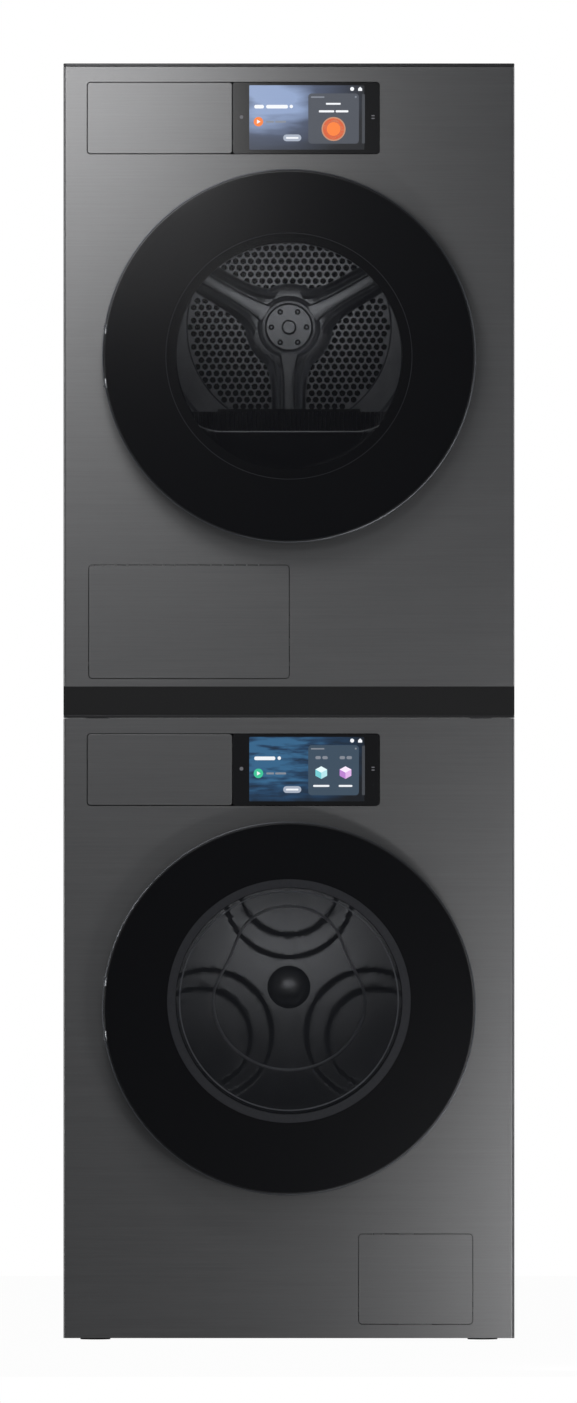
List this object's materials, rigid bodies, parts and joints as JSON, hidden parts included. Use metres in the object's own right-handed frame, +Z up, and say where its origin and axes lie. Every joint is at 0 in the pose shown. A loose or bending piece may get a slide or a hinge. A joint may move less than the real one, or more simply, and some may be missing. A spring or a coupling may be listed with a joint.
{
  "type": "washer dryer stack",
  "caption": "Front-loading washer with a heat pump dryer stacked on it, joined by a frame, with round glass doors, drawers, service flaps and turning drums.",
  "frame": {"origin": "centre of the floor area under the stack, at floor level", "axes": "+Z up, +X to the right seen from the front, doors face -Y"},
  "size_m": [0.6, 0.65, 1.699],
  "materials": {
    "brushed_steel_front": "horizontally brushed dark stainless",
    "painted_side": "satin dark grey paint",
    "top_sheet": "satin near-black paint",
    "galvanised": "zinc-coated sheet",
    "frame_band": "fine satin black",
    "black_trim": "semi-gloss black",
    "door_glass": "smoked tempered glass",
    "bowl_glass": "pressed clear glass",
    "rim_chrome": "satin chrome",
    "display_glass": "black glass over a lit screen",
    "light_plastic": "moulded light grey plastic",
    "black_plastic": "moulded black plastic",
    "drum_steel": "perforated stainless",
    "cast_zinc": "cast and machined light alloy",
    "steel_parts": "ground steel",
    "gasket_rubber": "matt grey rubber",
    "foot_rubber": "black rubber",
    "concrete": "cast concrete",
    "windings": "laminated core with copper windings",
    "rotor_steel": "pressed and plated steel",
    "coil_block": "aluminium fins with steel and copper pipes",
    "belt_rubber": "ribbed black rubber"
  },
  "bodies": {
    "cabinets": {"stacking_frame": "frame_band", "stacking_screws": "steel_parts", "washer_base": "black_plastic", "washer_cabinet": "painted_side", "washer_back_cover": "galvanised", "washer_front_panel": "brushed_steel_front", "washer_top": "top_sheet", "washer_display": "display_glass", "drawer_housing": "light_plastic", "washer_door_lock": "black_plastic", "door_hinges": "steel_parts", "door_gasket": "gasket_rubber", "tub_springs": "steel_parts", "damper_tubes": "black_plastic", "drain_pump": "black_plastic", "inlet_valve": "light_plastic", "dryer_base": "black_plastic", "dryer_cabinet": "painted_side", "dryer_back_cover": "galvanised", "dryer_front_panel": "brushed_steel_front", "dryer_top": "top_sheet", "dryer_display": "display_glass", "tank_housing": "light_plastic", "dryer_bulkhead": "black_plastic", "drum_belt": "belt_rubber", "dryer_motor": "cast_zinc", "heat_pump": "coil_block"},
    "washer_door": {"washer_door_frame": "black_trim", "washer_door_rim": "rim_chrome", "washer_door_glass": "door_glass", "washer_door_bowl": "bowl_glass"},
    "dryer_door": {"dryer_door_frame": "black_trim", "dryer_door_rim": "rim_chrome", "dryer_door_glass": "door_glass", "dryer_door_window": "bowl_glass"},
    "drawer": {"detergent_drawer": "light_plastic", "drawer_front": "brushed_steel_front"},
    "tank": {"water_tank": "light_plastic", "tank_front": "brushed_steel_front"},
    "washer_flap": {"filter_flap": "brushed_steel_front"},
    "dryer_flap": {"exchanger_flap": "brushed_steel_front"},
    "filter_cap": {"pump_filter_cap": "light_plastic"},
    "lint_screen": {"lint_filter": "black_plastic"},
    "tub": {"outer_tub": "light_plastic", "tub_bearings": "steel_parts", "motor_stator": "windings", "counterweights": "concrete", "damper_rods": "steel_parts"},
    "wash_drum": {"washer_drum": "drum_steel", "drum_paddles": "black_plastic", "drum_spider": "cast_zinc", "motor_rotor": "rotor_steel"},
    "dry_drum": {"dryer_drum": "drum_steel", "dryer_drum_back": "drum_steel", "dryer_paddles": "black_plastic"},
    "pulley": {"motor_pulley": "cast_zinc"},
    "foot_fl": {"foot_front_left": "foot_rubber"},
    "foot_fr": {"foot_front_right": "foot_rubber"},
    "foot_bl": {"foot_back_left": "foot_rubber"},
    "foot_br": {"foot_back_right": "foot_rubber"}
  },
  "joints": [
    {"name": "washer_door_hinge", "type": "hinge", "parent": "cabinets", "child": "washer_door", "pos_m": [-0.2385, -0.302, 0.442], "axis": [0, 0, -1], "range_deg": [0, 115]},
    {"name": "dryer_door_hinge", "type": "hinge", "parent": "cabinets", "child": "dryer_door", "pos_m": [-0.2385, -0.302, 1.309], "axis": [0, 0, -1], "range_deg": [0, 115]},
    {"name": "drawer_slide", "type": "slide", "parent": "cabinets", "child": "drawer", "axis": [0, -1, 0], "range_m": [0, 0.2]},
    {"name": "tank_slide", "type": "slide", "parent": "cabinets", "child": "tank", "axis": [0, -1, 0], "range_m": [0, 0.4]},
    {"name": "washer_flap_hinge", "type": "hinge", "parent": "cabinets", "child": "washer_flap", "pos_m": [0.1685, -0.272, 0.041], "axis": [1, 0, 0], "range_deg": [0, 90]},
    {"name": "dryer_flap_hinge", "type": "hinge", "parent": "cabinets", "child": "dryer_flap", "pos_m": [-0.133, -0.272, 0.9], "axis": [1, 0, 0], "range_deg": [0, 90]},
    {"name": "filter_cap_turn", "type": "hinge", "parent": "cabinets", "child": "filter_cap", "pos_m": [0.1685, -0.238, 0.0815], "axis": [0, -1, 0], "range_deg": [0, 360]},
    {"name": "lint_filter_lift", "type": "slide", "parent": "cabinets", "child": "lint_screen", "axis": [0, 0, 1], "range_m": [0, 0.09]},
    {"name": "tub_float", "type": "slide", "parent": "cabinets", "child": "tub", "axis": [0, 0, 1], "range_m": [-0.008, 0.008], "stiffness_N_per_m": 8000, "springref_m": 0.0384, "deforming": ["tub_springs", "door_gasket"]},
    {"name": "wash_drum_spin", "type": "hinge", "parent": "tub", "child": "wash_drum", "pos_m": [0, 0, 0.465], "axis": [0, 1, 0], "continuous": true},
    {"name": "dry_drum_spin", "type": "hinge", "parent": "cabinets", "child": "dry_drum", "pos_m": [0, 0, 1.356], "axis": [0, 1, 0], "continuous": true},
    {"name": "pulley_spin", "type": "hinge", "parent": "cabinets", "child": "pulley", "pos_m": [0.175, 0.075, 1], "axis": [0, 1, 0], "continuous": true},
    {"name": "foot_fl_turn", "type": "hinge", "parent": "cabinets", "child": "foot_fl", "pos_m": [-0.258, -0.22, 0], "axis": [0, 0, 1], "continuous": true},
    {"name": "foot_fr_turn", "type": "hinge", "parent": "cabinets", "child": "foot_fr", "pos_m": [0.258, -0.22, 0], "axis": [0, 0, 1], "continuous": true},
    {"name": "foot_bl_turn", "type": "hinge", "parent": "cabinets", "child": "foot_bl", "pos_m": [-0.258, 0.24, 0], "axis": [0, 0, 1], "continuous": true},
    {"name": "foot_br_turn", "type": "hinge", "parent": "cabinets", "child": "foot_br", "pos_m": [0.258, 0.24, 0], "axis": [0, 0, 1], "continuous": true}
  ],
  "couplings": [
    {"joint": "pulley_spin", "follows": "dry_drum_spin", "ratio": 16.412}
  ]
}
